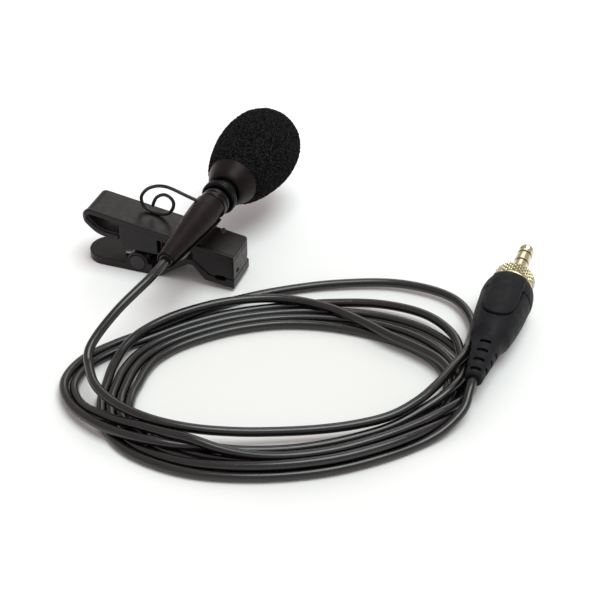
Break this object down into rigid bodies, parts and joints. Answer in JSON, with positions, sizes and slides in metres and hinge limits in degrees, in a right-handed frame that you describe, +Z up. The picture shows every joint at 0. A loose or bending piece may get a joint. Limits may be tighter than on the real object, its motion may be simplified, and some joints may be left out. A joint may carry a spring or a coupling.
{
  "type": "lavalier microphone",
  "caption": "Clip-on lavalier microphone with a foam windshield, on an alligator clip, with a loosely coiled cable and a locking jack plug.",
  "frame": {"origin": "centre of the bottom of the box around the clip and the microphone, on the surface that the clip lies on; the cable and plug are not counted", "axes": "+Y along the microphone, from the cable end to the foam tip; +X along the clip, from the finger end to the jaws; +Z up, from the lower lever to the microphone"},
  "size_m": [0.1046, 0.1089, 0.0253],
  "materials": {
    "foam": "open-cell foam, near black",
    "clip_plastic": "satin, dark grey to black",
    "sleeve_plastic": "satin black",
    "collar_plastic": "glossy black",
    "dark_metal": "black, semi-gloss",
    "steel": "bare steel",
    "cable_rubber": "satin black cable jacket",
    "plug_rubber": "matte charcoal, soft-touch",
    "insulator": "black",
    "circuit_board": "green solder mask",
    "gold": "gold plate, polished"
  },
  "bodies": {
    "base": {"lower_lever": "clip_plastic", "hinge_pin": "dark_metal", "torsion_spring": "steel", "cable_coil": "cable_rubber", "cable_tail": "cable_rubber", "plug_cable_boot": "plug_rubber", "connector_body": "plug_rubber", "connector_pin_carrier": "insulator", "connector_pin_1": "gold", "connector_pin_2": "gold", "connector_pin_3": "gold", "coupling_ring": "steel"},
    "upper_clip": {"spring_strip": "clip_plastic", "upper_jaw": "clip_plastic", "mic_sleeve": "sleeve_plastic", "cable_guide_wire": "dark_metal", "mic_rear_boot": "cable_rubber", "inner_cable": "cable_rubber", "cable_gland": "insulator", "capsule_housing": "dark_metal", "capsule_grille": "dark_metal", "electret_element": "steel", "capsule_circuit_board": "circuit_board", "collar_rear_ring": "collar_plastic", "collar_front_ring": "collar_plastic", "cable_lead": "cable_rubber"},
    "windshield": {"foam_windshield": "foam", "windshield_base": "sleeve_plastic"},
    "adaptor": {"adaptor_body": "plug_rubber", "coupling_socket": "insulator", "jack_sleeve_contact": "gold", "jack_rear_insulator": "insulator", "jack_ring_contact": "gold", "jack_front_insulator": "insulator", "jack_tip_contact": "gold"},
    "lock_ring": {"locking_ring": "gold"}
  },
  "joints": [
    {"name": "jaw_hinge", "type": "hinge", "parent": "base", "child": "upper_clip", "pos_m": [-0.006, -0.01185, 0.0027], "axis": [0, -1, 0], "range_deg": [0, 16], "stiffness_Nm_per_rad": 0.05, "springref_deg": -28.65, "deforming": ["torsion_spring"]},
    {"name": "foam_pull", "type": "slide", "parent": "upper_clip", "child": "windshield", "axis": [0.0454, 0.999, 0], "range_m": [0, 0.022]},
    {"name": "adaptor_pull", "type": "slide", "parent": "base", "child": "adaptor", "axis": [0, 1, 0], "range_m": [0, 0.02]},
    {"name": "lock_ring_spin", "type": "hinge", "parent": "adaptor", "child": "lock_ring", "pos_m": [0.0787, -0.0002, 0.0059], "axis": [0, 1, 0], "continuous": true}
  ]
}
